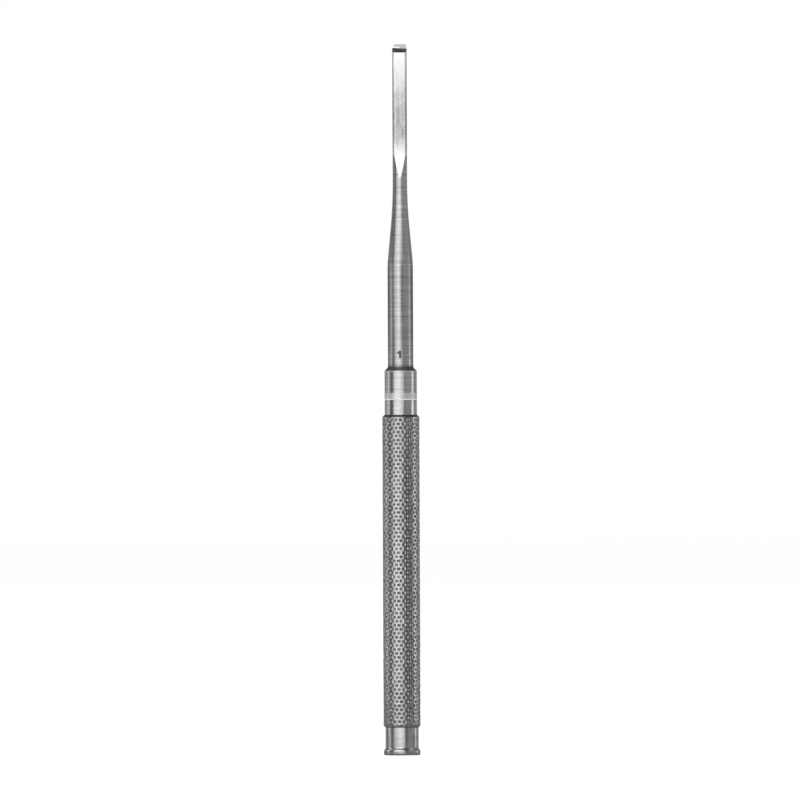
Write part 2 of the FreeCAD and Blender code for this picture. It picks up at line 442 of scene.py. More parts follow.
@dataclass(frozen=True)
class SteelFinish:
    """One finish of the steel: its tone, its gloss and the lines that its tool left."""

    name: str
    colour: tuple[float, float, float]
    roughness: float
    anisotropy: float
    grain: Grain
    line_across: float
    line_along: float
    line_height: float
    line_tone: float = 0.1
    metallic: float = 1.0
    dark_colour: tuple[float, float, float] = (0.16, 0.16, 0.16)
    dark_roughness: float = 0.5
    dark_attribute: str = ""
    dark_gap_by_lines: float = 0.0
    line_range: tuple[float, float] = (0.3, 0.7)
    dark_gap_range: tuple[float, float] = (0.35, 0.65)
    smudge_tone: float = 0.93
    smudge_share: float = 0.25
    line_roughness: float = 0.03
    smudge_roughness: float = 0.035
    scratch_roughness: float = 0.12
    scratch_depth: float = 0.5

    def shade(self, share: float) -> tuple[float, ...]:
        """The colour times a share, at most white, with its alpha."""
        return tuple(min(1.0, c * share) for c in self.colour) + (1.0,)

    def material(self, effects: Effects) -> Material:
        """Builds the finish as a material.

        The tone and the gloss vary with the tool's lines and with smudges. Where the piece
        has the named attribute, its value mixes in the dark colour, less where the tool's
        lines are high. On the knurl that dark colour is painted shade, with some grime, in
        the pits, grooves and end chamfers; on the shank it is the cut number's colour and
        painted shade, with some stain, in the corner above the collar; on the flats it makes
        a darker patch.

        Args:
            effects: the shared node groups.

        Returns:
            The material.
        """
        material = bpy.data.materials.new(self.name)
        graph = fresh_graph(material)
        place = graph.add("ShaderNodeTexCoord").outputs["Object"]

        inputs = {"Vector": place, "Across": self.line_across, "Along": self.line_along}
        lines = graph.add("ShaderNodeGroup", inputs, node_tree=effects.tool_lines).outputs["Lines"]
        marks = graph.add("ShaderNodeGroup", {"Vector": place}, node_tree=effects.handling)
        smudges, scratches = marks.outputs["Smudges"], marks.outputs["Scratches"]

        low = self.shade(1 - self.line_tone)
        high = self.shade(1 + self.line_tone)
        colour = graph.blend(graph.span(lines, *self.line_range, 0.0, 1.0), low, high)
        share = graph.maths("MULTIPLY", smudges, self.smudge_share)
        colour = graph.blend(share, colour, self.shade(self.smudge_tone))

        spread = graph.span(lines, *self.line_range, -self.line_roughness, self.line_roughness)
        rough = graph.maths("ADD", spread, self.roughness)
        for mark, more in ((smudges, self.smudge_roughness), (scratches, self.scratch_roughness)):
            rough = graph.maths("ADD", rough, graph.maths("MULTIPLY", mark, more))

        # The dark colour mixed in here is painted shade on the knurl and in the shank's corner, the
        # cut number's colour, and a darker patch on the flats.
        if self.dark_attribute:
            stored = graph.add("ShaderNodeAttribute", None, attribute_name=self.dark_attribute)
            kept = graph.span(lines, *self.dark_gap_range, 1.0, 1 - self.dark_gap_by_lines)
            share = graph.maths("MULTIPLY", stored.outputs["Fac"], kept)
            colour = graph.blend(share, colour, self.dark_colour + (1.0,))
            more = graph.maths("MULTIPLY", share, self.dark_roughness - self.roughness)
            rough = graph.maths("ADD", rough, more)

        cut = graph.maths("MULTIPLY", scratches, self.scratch_depth)
        height = graph.maths("SUBTRACT", lines, cut)
        inputs = {"Height": height, "Strength": 1.0, "Distance": self.line_height}
        bump = graph.add("ShaderNodeBump", inputs)
        tangent = graph.add("ShaderNodeTangent", None, direction_type="RADIAL", axis="Z")
        inputs = {
            "Base Color": colour,
            "Metallic": self.metallic,
            "Roughness": rough,
            "Anisotropic": self.anisotropy,
            "Anisotropic Rotation": self.grain.value,
            "Normal": bump.outputs[0],
            "Tangent": tangent.outputs[0],
        }
        shader = graph.add("ShaderNodeBsdfPrincipled", inputs)
        graph.add("ShaderNodeOutputMaterial", {"Surface": shader.outputs[0]})
        return material


TURNED = SteelFinish(
    name="turned_satin_steel", colour=(0.72, 0.72, 0.715), roughness=0.23, anisotropy=0.75,
    grain=Grain.ROUND, line_across=50, line_along=1700, line_height=0.9e-6, line_tone=0.22,
    dark_attribute="number_and_corner_shade",
)
# The shank's dark colour is the cut number's own colour, and painted shade, with some stain, in the
# corner above the collar.
SHANK = SteelFinish(
    name="shank_steel", colour=(0.6, 0.6, 0.595), roughness=0.27, anisotropy=0.7,
    grain=Grain.ROUND, line_across=40, line_along=1300, line_height=1.2e-6, line_tone=0.42,
    dark_attribute="number_and_corner_shade",
)
# The knurl's dark colour is painted shade, with some grime, in its pits, grooves and end chamfers.
KNURLED = SteelFinish(
    name="knurled_steel", colour=(0.53, 0.53, 0.525), roughness=0.27, anisotropy=0.5,
    grain=Grain.ROUND, line_across=700, line_along=900, line_height=1.2e-6, line_tone=0.3,
    dark_colour=(0.22, 0.22, 0.22), dark_attribute="pit_grime_and_shade", dark_gap_by_lines=0.35,
)
GROUND = SteelFinish(
    name="ground_steel", colour=(0.9, 0.9, 0.9), roughness=0.3, anisotropy=0.6,
    grain=Grain.LENGTHWISE, line_across=1500, line_along=420, line_height=1.0e-6, line_tone=0.12,
    dark_colour=(0.34, 0.34, 0.34), dark_roughness=0.36, dark_attribute="dull", dark_gap_by_lines=0.5,
)
FROSTED = SteelFinish(
    name="frosted_band_steel", colour=(0.94, 0.94, 0.935), roughness=0.45, anisotropy=0.2,
    grain=Grain.ROUND, line_across=1900, line_along=1500, line_height=1.0e-6, line_tone=0.3,
    metallic=0.85,
)
WHITE_LINE = SteelFinish(
    name="white_line", colour=(0.92, 0.92, 0.915), roughness=0.6, anisotropy=0.0,
    grain=Grain.ROUND, line_across=900, line_along=900, line_height=0.5e-6, line_tone=0.06,
    metallic=0.0,
)
HONED = SteelFinish(
    name="honed_steel", colour=(0.72, 0.72, 0.72), roughness=0.22, anisotropy=0.5,
    grain=Grain.LENGTHWISE, line_across=300, line_along=2500, line_height=0.2e-6, line_tone=0.05,
)


# Lengths of the chisel, from the striking face up

@dataclass
class StrikingHead:
    """The struck end: flat face, rounded rim, cove and a plain waist below the knurl."""

    rim_radius: float = 4.42 * MM
    waist_radius: float = 4.0 * MM
    rim_top: float = 1.25 * MM
    cove_top: float = 1.76 * MM
    waist_top: float = 6.9 * MM
    columns: int = 192

    def outline(self) -> Array:
        """Half profile of the head, from the middle of the face up to the hidden top.

        Returns:
            (radius, height) pairs.
        """
        corners = [
            Corner(0.0, 0.0),
            Corner(self.rim_radius, 0.0, 0.46 * MM),
            Corner(self.rim_radius, self.rim_top, 0.8 * MM),
            Corner(self.waist_radius, self.cove_top, 0.5 * MM),
            Corner(self.waist_radius, self.waist_top),
        ]
        return divided(rounded_outline(corners), 0.5 * MM)[1:]

    def build(self, effects: Effects) -> None:
        """Builds and dresses the head.

        Args:
            effects: the shared node groups.
        """
        outline = self.outline()
        angles = np.linspace(0, 2 * math.pi, self.columns, endpoint=False)
        grid = around(angles, outline[:, :1], outline[:, 1:])
        piece = closed_tube("striking_head", grid, sharp=30)
        join_chisel(piece, [TURNED.material(effects)])


@dataclass
class KnurledGrip:
    """The grip: a rolled diamond knurl with blunt tops, chamfered at both ends."""

    start: float = 7.1 * MM
    length: float = 74.1 * MM
    top_radius: float = 4.45 * MM
    depth: float = 0.32 * MM
    rows: int = 77
    columns: int = 44
    parts: int = 5
    ring_steps: tuple[float, ...] = (0.0, 0.15, 0.35, 0.65, 0.85)
    groove_depth: float = 0.1
    groove_width: float = 0.1
    pit: tuple[float, float] = (0.76, 0.39)
    shallowest_pit: float = 0.6
    turn: int = 1
    lower_chamfer: tuple[float, float] = (4.0 * MM, 6.68 * MM)
    upper_chamfer: tuple[float, float] = (3.875 * MM, 81.45 * MM)
    hidden_reach: float = 0.07 * MM
    unevenness: float = 0.07
    grime_and_shade_edge: float = 0.95
    grime_and_shade_gain: float = 1.3
    shaded_reach: tuple[float, float] = (0.1 * MM, 0.4 * MM)

    def heights(self) -> Array:
        """Heights of the rings, closer at the pits and in both end chamfers.

        Returns:
            The heights, from the bottom up.
        """
        rows = np.arange(self.rows)[:, None]
        steps = np.append((rows + np.array(self.ring_steps)).ravel(), self.rows)
        even = self.start + steps / self.rows * self.length
        foot = np.linspace(self.lower_chamfer[1] - self.hidden_reach, self.start, 7)[:-1]
        crown = np.linspace(self.start + self.length, self.upper_chamfer[1] + self.hidden_reach, 5)[1:]
        return np.concatenate([foot, even, crown])

    def relief(self, across: Array, up: Array) -> Array:
        """Height of the knurl, 0 in the pits where its grooves cross and 1 on the blunt tops.

        With across counted from the turn, grooves run both ways where across + up or
        across - up is odd, as shallow V cuts. At each crossing the rolling tool leaves a pit,
        round in its own stretched measure q: q^2 = (da/A)^2 + (du/B)^2, depth (1 - q^2)^1.5
        inside q = 1, times a random share. Tops and pits get theirs by the place of their
        middle, counted round and up, so the pattern has no seam.

        Args:
            across: position round the grip, in half diamonds.
            up: position along the grip, in half diamonds.

        Returns:
            The relief at each point.
        """
        across = across + self.turn
        rng = np.random.default_rng(SEED)
        places = (self.columns, 2 * self.rows)
        levels = 1 - np.abs(rng.normal(0, self.unevenness, places))
        pit_shares = rng.uniform(self.shallowest_pit, 1, places)
        first, second = (across + up) / 2, (across - up) / 2
        top_first, top_second = np.round(first), np.round(second)
        level = self.share_at(levels, top_first + top_second, top_first - top_second)
        groove = 0.5 - np.maximum(np.abs(first - top_first), np.abs(second - top_second))
        cut = self.groove_depth * np.clip(1 - groove / self.groove_width, 0, 1)
        pit_across = np.floor(first) + np.floor(second) + 1
        pit_up = np.floor(first) - np.floor(second)
        stretched = ((across - pit_across) / self.pit[0]) ** 2 + ((up - pit_up) / self.pit[1]) ** 2
        pit = np.clip(1 - stretched, 0, 1) ** 1.5 * self.share_at(pit_shares, pit_across, pit_up)
        return level - np.maximum(cut, pit) * level

    @staticmethod
    def share_at(table: Array, across: Array, up: Array) -> Array:
        """Looks up one number for each place, counted round the table's rows and columns."""
        return table[across.astype(int) % table.shape[0], up.astype(int) % table.shape[1]]

    def quads(self, heights: Array) -> Array:
        """Triangles between the rings, each pair folded along the groove that crosses its cell.

        Args:
            heights: heights of the rings.

        Returns:
            The triangles, as three point numbers each.
        """
        count = self.columns * self.parts
        quads = ring_quads(len(heights), count)
        middle = (heights[:-1] + heights[1:]) / 2
        row = np.floor((middle - self.start) / self.length * self.rows).astype(int)
        column = np.arange(count) // self.parts + self.turn
        even = ((row[:, None] + column[None]) % 2 == 0).ravel()
        near, far, far_up, near_up = quads.T
        first = np.stack([near, far, np.where(even, near_up, far_up)], axis=-1)
        second = np.stack([np.where(even, far, near), far_up, near_up], axis=-1)
        return np.vstack([first, second])

    def build(self, effects: Effects) -> None:
        """Builds and dresses the grip.

        Args:
            effects: the shared node groups.
        """
        heights = self.heights()
        count = self.columns * self.parts
        across = np.arange(count)[None] / self.parts
        up = (heights[:, None] - self.start) / self.length * self.rows
        relief = self.relief(across, up)
        radii = self.top_radius - self.depth * (1 - relief)
        lower = self.lower_chamfer[0] + (heights - self.lower_chamfer[1])
        upper = self.upper_chamfer[0] + (self.upper_chamfer[1] - heights)
        chamfered = np.minimum(lower, upper)[:, None]
        radii = np.minimum(radii, chamfered)
        grid = around(across * 2 * math.pi / self.columns, radii, heights[:, None])
        piece = closed_tube("knurled_grip", grid, sharp=25, quads=self.quads(heights))
        # Painted shade on both end chamfers, where the knurl's edge shades them, joined to the painted
        # shade and grime of the pits and grooves.
        shaded = 1 - smooth_step(*self.shaded_reach, chamfered - self.lower_chamfer[0])
        pit_grime_and_shade = np.clip((self.grime_and_shade_edge - relief) * self.grime_and_shade_gain, 0, 1)
        set_values(piece, "pit_grime_and_shade", np.maximum(pit_grime_and_shade, shaded))
        join_chisel(piece, [KNURLED.material(effects)])


@dataclass
class Collar:
    """The plain collar between grip and shank, with a frosted band round it."""

    radius: float = 3.875 * MM
    foot: float = 81.0 * MM
    edge: float = 91.96 * MM
    edge_rounding: float = 0.2 * MM
    top_radius: float = 3.3 * MM
    top: float = 92.53 * MM
    band: tuple[float, float] = (85.2 * MM, 86.65 * MM)
    line_foot: float = 84.98 * MM
    # Heights of a thin ring under the top edge that takes the bright frosted finish as a painted
    # highlight.
    edge_highlight: tuple[float, float] = (91.7 * MM, 91.877 * MM)
    columns: int = 192

    def outline(self) -> Array:
        """Half profile of the collar, from its hidden foot to the top of its chamfer.

        Returns:
            (radius, height) pairs.
        """
        corners = [
            Corner(self.radius, self.foot),
            Corner(self.radius, self.line_foot),
            Corner(self.radius, self.band[0]),
            Corner(self.radius, self.band[1]),
            Corner(self.radius, self.edge_highlight[0]),
            Corner(self.radius, self.edge, self.edge_rounding),
            Corner(self.top_radius, self.top),
        ]
        return divided(rounded_outline(corners), 0.4 * MM)

    def build(self, effects: Effects) -> None:
        """Builds and dresses the collar: frosted band, a painted highlight on its edge and the white
        line below.

        Args:
            effects: the shared node groups.
        """
        outline = self.outline()
        angles = np.linspace(0, 2 * math.pi, self.columns, endpoint=False)
        piece = closed_tube("collar", around(angles, outline[:, :1], outline[:, 1:]), sharp=30)
        height = face_vectors(piece, "center")[:, 2]
        in_band = (height > self.band[0]) & (height < self.band[1])
        in_line = (height > self.line_foot) & (height < self.band[0])
        # A thin ring under the top edge gets the bright frosted finish: a painted highlight.
        edge_highlight = (height > self.edge_highlight[0]) & (height < self.edge_highlight[1])
        zones = np.where(in_line, 2, np.where(in_band | edge_highlight, 1, 0))
        piece.data.polygons.foreach_set("material_index", zones.astype(np.int32))
        join_chisel(piece, [finish.material(effects) for finish in (TURNED, FROSTED, WHITE_LINE)])


@dataclass(frozen=True)
class Numeral:
    """The size number 1 cut into the front of the shank, as two straight strokes."""

    stem: tuple[float, float, float, float] = (-0.08 * MM, 95.2 * MM, -0.08 * MM, 96.52 * MM)
    flag: tuple[float, float, float, float] = (-0.08 * MM, 96.52 * MM, -0.58 * MM, 96.18 * MM)
    half_stroke: float = 0.26 * MM
    softness: float = 0.05 * MM
    depth: float = 0.05 * MM

    @staticmethod
    def distance(stroke: tuple[float, float, float, float], x: Array, z: Array) -> Array:
        """Distance from each point to a straight stroke.

        Args:
            stroke: x and z of its start, then of its end.
            x: the points' x.
            z: the points' z.

        Returns:
            The distances.
        """
        start, end = np.array(stroke[:2]), np.array(stroke[2:])
        span = end - start
        share = np.clip(((x - start[0]) * span[0] + (z - start[1]) * span[1]) / (span @ span), 0, 1)
        return np.hypot(x - start[0] - share * span[0], z - start[1] - share * span[1])

    def mask(self, x: Array, z: Array) -> Array:
        """Share of the number's cut: 1 inside the strokes and 0 outside, with a soft border.

        Args:
            x: the points' x.
            z: the points' z.

        Returns:
            The share at each point.
        """
        nearest = np.minimum(self.distance(self.stem, x, z), self.distance(self.flag, x, z))
        border = (self.half_stroke - self.softness, self.half_stroke + self.softness)
        return 1 - smooth_step(*border, nearest)


@dataclass
class ShankAndBlade:
    """Shank, tapered neck and blade in one surface, with the number and the bevelled tip.

    A cross-section is a circle cut by two parallel flats, its long edges rounded. Columns of
    the surface keep one direction from the axis all the way up.
    """

    shank_radius: float = 3.05 * MM
    foot: float = 92.43 * MM
    collar_top: float = 92.53 * MM
    fillet_radius: float = 0.82 * MM
    fillet_top: float = 93.1 * MM
    shoulder: float = 117.6 * MM
    neck_end: float = 132.0 * MM
    blade_radius: float = 1.73 * MM
    half_thickness: float = 0.65 * MM
    long_edge: float = 0.55 * MM
    least_long_edge: float = 0.03 * MM
    long_edge_foot: float = 142 * MM
    flat_start: float = 145.9 * MM
    runout_radius: float = 40.0 * MM
    runout_end: float = 136.53 * MM
    runout_clear: float = 0.03 * MM
    wall_top: float = 167.7 * MM
    heel: float = 168.02 * MM
    edge: float = 170.0 * MM
    edge_land: float = 0.04 * MM
    hone_height: float = 1.04 * MM
    hone_angle: float = 20.0
    hone_skew: float = 0.1
    burr_height: float = 0.2 * MM
    burr_end: float = 0.1 * MM
    corner_shade_and_stain_top: tuple[float, float] = (92.85 * MM, 93.35 * MM)
    corner_shade_and_stain: float = 0.75
    ground_foot: float = 143.3 * MM
    bright_lines: tuple[float, ...] = (-1.03 * MM, 0.12 * MM, 1.2 * MM)
    bright_line_width: float = 0.09 * MM
    bright_line_share: float = 0.3
    dull_foot: tuple[float, float] = (142.3 * MM, 149.5 * MM)
    dull_top: tuple[float, float] = (152.5 * MM, 168.5 * MM)
    number_span: tuple[float, float] = (94.6 * MM, 97.2 * MM)
    shoulder_span: tuple[float, float] = (116.0 * MM, 119.2 * MM)
    neck_span: tuple[float, float] = (126.4 * MM, 136.8 * MM)
    runout_top: float = 146.3 * MM
    ring_counts: tuple[int, ...] = (2, 9, 4, 66, 20, 14, 12, 28, 120, 36)
    flat_columns: int = 88
    side_columns: int = 36
    numeral: Numeral = Numeral()

    def directions(self) -> Array:
        """Angles of the columns from the front, from the front flat's left end round.

        On a flat the angle follows s*(0.4 + 0.6*s^2) times the flat's half angle, with s from
        -1 to 1, which packs the columns where the number is.

        Returns:
            The angles in radians.
        """
        reach = self.blade_radius - self.long_edge
        flat_end = math.sqrt(reach ** 2 - (self.half_thickness - self.long_edge) ** 2)
        half_angle = math.atan2(flat_end, self.half_thickness)
        share = np.linspace(-1, 1, self.flat_columns + 1)
        front = half_angle * share * (0.4 + 0.6 * share ** 2)
        side = np.linspace(half_angle, math.pi - half_angle, self.side_columns + 1)
        half = np.concatenate([front[:-1], side[:-1]])
        return np.concatenate([half, half + math.pi])

    def turned_radius(self, heights: Array) -> Array:
        """Radius of the turned blank: collar fillet, shank, shoulder, taper and hollow neck.

        Args:
            heights: heights along the chisel.

        Returns:
            The radius at each height.
        """
        outline = rounded_outline([
            Corner(self.shank_radius, self.fillet_top),
            Corner(self.shank_radius, self.shoulder, 30 * MM),
            Corner(self.blade_radius, self.neck_end, 120 * MM),
            Corner(self.blade_radius, self.edge),
        ], 64)
        radii = np.interp(heights, outline[:, 1], outline[:, 0])
        drop = np.clip(self.fillet_top - np.maximum(heights, self.collar_top), 0, None)
        return radii + self.fillet_radius - np.sqrt(self.fillet_radius ** 2 - drop ** 2)

    def half_depth(self, heights: Array, radii: Array) -> Array:
        """Distance from the axis to the flats, at most the turned radius.

        The run-out below the flats is an arc that comes out tangent to a line just outside
        the round root.

        Args:
            heights: heights along the chisel.
            radii: turned radius at each.

        Returns:
            The distance at each height.
        """
        skim = self.blade_radius + self.runout_clear
        rise = np.clip(heights - self.runout_end, 0, self.flat_start - self.runout_end)
        arc = skim - self.runout_radius + np.sqrt(self.runout_radius ** 2 - rise ** 2)
        flat = np.where(heights >= self.flat_start, 0, arc)
        flat = np.maximum(flat, self.half_thickness)
        return np.where(heights < self.runout_end, radii, np.minimum(flat, radii))

    def section(self, angles: Array, radii: Array, depths: Array, rounding: Array) -> Array:
        """Distance from the axis to the section's outline in each direction.

        Going round from the middle of a flat, the ray meets the flat, then the arc that
        rounds the long edge inside the circle, then the circle itself.

        Args:
            angles: directions from the front, one to a column.
            radii: turned radius, one to a row.
            depths: distance to the flats, one to a row.
            rounding: radius of the long edges, one to a row.

        Returns:
            Distances, rows by columns.
        """
        sideways, forward = np.abs(np.sin(angles)), np.abs(np.cos(angles))
        centre_y = depths - rounding
        centre_x = np.sqrt(np.maximum((radii - rounding) ** 2 - centre_y ** 2, 0))
        on_flat = depths / np.maximum(forward, 1e-9)
        near = centre_x * sideways + centre_y * forward
        left = near ** 2 - centre_x ** 2 - centre_y ** 2 + rounding ** 2
        on_arc = near + np.sqrt(np.maximum(left, 0))
        flat_part = on_flat * sideways <= centre_x
        arc_part = centre_x * forward > centre_y * sideways
        return np.where(flat_part, on_flat, np.where(arc_part, on_arc, radii + 0 * forward))

    def tip_height(self, x: Array, y: Array) -> Array:
        """Height of the tip over a place of the section.

        The hollow bevel is two planes, the upper one honed thinner and slightly askew. The
        upper takes over where it rises past the lower, with a small steep burr on the left,
        and nothing is higher than the cutting edge.

        Args:
            x: the places' x.
            y: the places' y.

        Returns:
            The height at each place.
        """
        land = self.half_thickness - self.edge_land
        hone_run = self.hone_height * math.tan(math.radians(self.hone_angle))
        slope = (self.edge - self.hone_height - self.heel) / (land - hone_run + self.half_thickness)
        bevel = self.heel + (y + self.half_thickness) * slope
        hone = self.edge - (land - y) / math.tan(math.radians(self.hone_angle)) + self.hone_skew * x
        burr = np.where(x < self.burr_end, self.burr_height, 0.0)
        return np.minimum(np.where(hone > bevel + burr, hone, bevel), self.edge)

    def heights(self) -> Array:
        """Heights of the rings up to the tip, closer where the shape or the number needs it.

        Returns:
            The heights, from the bottom up.
        """
        stops = (
            self.foot, self.collar_top, self.fillet_top, *self.number_span, *self.shoulder_span,
            *self.neck_span, self.runout_top, self.wall_top,
        )
        spans = zip(stops[:-1], stops[1:], self.ring_counts, strict=True)
        return np.unique(np.concatenate([np.linspace(*span) for span in spans]))

    def tip_cap(self, top_ring: Array) -> tuple[Array, Array]:
        """The tip's surface, ruled between mirrored points of the last ring.

        Args:
            top_ring: points of the last ring.

        Returns:
            The inner points, and quads whose numbers count the ring's points first.
        """
        flats, sides = self.flat_columns, self.side_columns
        total = len(top_ring)
        numbers = np.zeros((sides + 1, flats + 1), int)
        numbers[0] = np.arange(flats + 1)
        numbers[-1] = 2 * flats + sides - np.arange(flats + 1)
        numbers[:, -1] = flats + np.arange(sides + 1)
        numbers[:, 0] = (total - np.arange(sides + 1)) % total
        inner = np.arange((sides - 1) * (flats - 1)).reshape(sides - 1, flats - 1) + total
        numbers[1:-1, 1:-1] = inner
        share = top_ring[1:flats, 0] / top_ring[flats, 0]
        side = top_ring[flats + 1:flats + sides]
        x = share[None] * side[:, :1]
        y = np.broadcast_to(side[:, 1:2], x.shape)
        points = np.stack([x, y, self.tip_height(x, y)], axis=-1)
        corners = (numbers[:-1, :-1], numbers[:-1, 1:], numbers[1:, 1:], numbers[1:, :-1])
        return points.reshape(-1, 3), np.stack(corners, axis=-1).reshape(-1, 4)

    def build(self, effects: Effects) -> None:
        """Builds and dresses shank, neck and blade.

        Args:
            effects: the shared node groups.
        """
        angles = self.directions()[None]
        heights = self.heights()[:, None]
        radii = self.turned_radius(heights)
        depths = self.half_depth(heights, radii)
        sharper = 1 - smooth_step(self.long_edge_foot, self.flat_start, heights)
        rounding = self.long_edge - (self.long_edge - self.least_long_edge) * sharper
        reach = self.section(angles, radii, depths, rounding)

        mark = self.numeral.mask(reach * np.sin(angles), heights) * (np.cos(angles) > 0)
        grid = around(angles, reach - self.numeral.depth * mark, heights)
        last = grid[-1]
        crown = self.tip_height(last[:, 0], last[:, 1])
        share = np.linspace(0, 1, 4)[1:, None]
        tip = np.broadcast_to(last, (3, *last.shape)).copy()
        tip[..., 2] = self.wall_top + share * (crown - self.wall_top)
        grid = np.concatenate([grid, tip])

        rows, columns = grid.shape[:2]
        inner, cap = self.tip_cap(grid[-1])
        first_top = (rows - 1) * columns
        pole = rows * columns + len(inner)
        points = np.vstack([grid.reshape(-1, 3), inner, grid[0].mean(axis=0)[None]])
        foot = fan(np.arange(columns), pole, False)
        faces = [ring_quads(rows, columns), cap + first_top, foot]
        piece = make_piece("shank_and_blade", points, faces, sharp=22)

        # Painted shade, with some stain, darkens the corner where the shank's fillet meets the collar;
        # it shares one attribute with the cut number.
        corner = self.corner_shade_and_stain * (1 - smooth_step(*self.corner_shade_and_stain_top, heights))
        set_values(piece, "number_and_corner_shade", np.maximum(mark, corner))
        set_values(piece, "dull", self.dullness(grid))
        self.zone_faces(piece)
        join_chisel(piece, [finish.material(effects) for finish in (SHANK, GROUND, HONED)])

    def dullness(self, grid: Array) -> Array:
        """Duller patch on the lower half of the flats, fading out up and down the blade.

        Along each of the listed lengthwise lines it stays brighter, by a share that
        falls off as exp(-(x - line)^2 / width^2).

        Args:
            grid: the surface's points, rows by columns by 3.

        Returns:
            The dullness of each point, 0 to 1.
        """
        height = grid[..., 2]
        rise = smooth_step(*self.dull_foot, height)
        fall = 1 - smooth_step(*self.dull_top, height)
        apart = (grid[..., :1] - np.array(self.bright_lines)) / self.bright_line_width
        bright = self.bright_line_share * np.exp(-apart ** 2).sum(axis=-1)
        return rise * fall * (1 - bright)

    def zone_faces(self, piece: Piece) -> None:
        """Numbers the faces by finish: 0 turned, 1 ground on the flats, 2 honed at the tip.

        A face is on a flat where its middle is as deep as the flat and the flat cuts the
        round, and at the tip where it slants near the heel or above it.

        Args:
            piece: the finished mesh.
        """
        on_plane, least_cut, below_heel, least_slant = 0.02 * MM, 0.004 * MM, 0.5 * MM, 0.15
        middle = face_vectors(piece, "center")
        radii = self.turned_radius(middle[:, 2])
        depths = self.half_depth(middle[:, 2], radii)
        on_flat = (np.abs(middle[:, 1]) > depths - on_plane) & (depths < radii - least_cut)
        zones = (on_flat | (middle[:, 2] > self.ground_foot)).astype(np.int32)
        slanted = np.abs(face_vectors(piece, "normal")[:, 2]) > least_slant
        zones[slanted & (middle[:, 2] > self.heel - below_heel)] = 2
        piece.data.polygons.foreach_set("material_index", zones)


# Studio

@dataclass(frozen=True)
class Gate:
    """A stretch of angles in degrees, which fades in from start to full and out from fading to end."""

    start: float
    full: float
    fading: float
    end: float

    def share(self, angles: Array) -> Array:
        """1 inside the stretch and 0 outside, with smooth borders."""
        fade_in = smooth_step(self.start, self.full, angles)
        return fade_in * (1 - smooth_step(self.fading, self.end, angles))


@dataclass(frozen=True)
class Flag:
    """A grey panel of the light tent: its place round the tent and how bright it is."""

    place: Gate
    tone: float


@dataclass(frozen=True)
class Card:
    """A card close to the chisel: its start and end in degrees, and its tone.

    Start and end are the directions of the rays that reach it from the chisel's surface.
    """

    start: float
    end: float
    tone: float


@dataclass(frozen=True)
class CardRing:
    """Cards that stand between the same two heights, in metres."""

    foot: float
    top: float
    cards: tuple[Card, ...]


@dataclass(frozen=True)
class Shelf:
    """A level grey sheet between the cards of waist and grip, which only the cove mirrors."""

    start: float
    end: float
    inner: float
    outer: float
    height: float
    tone: float


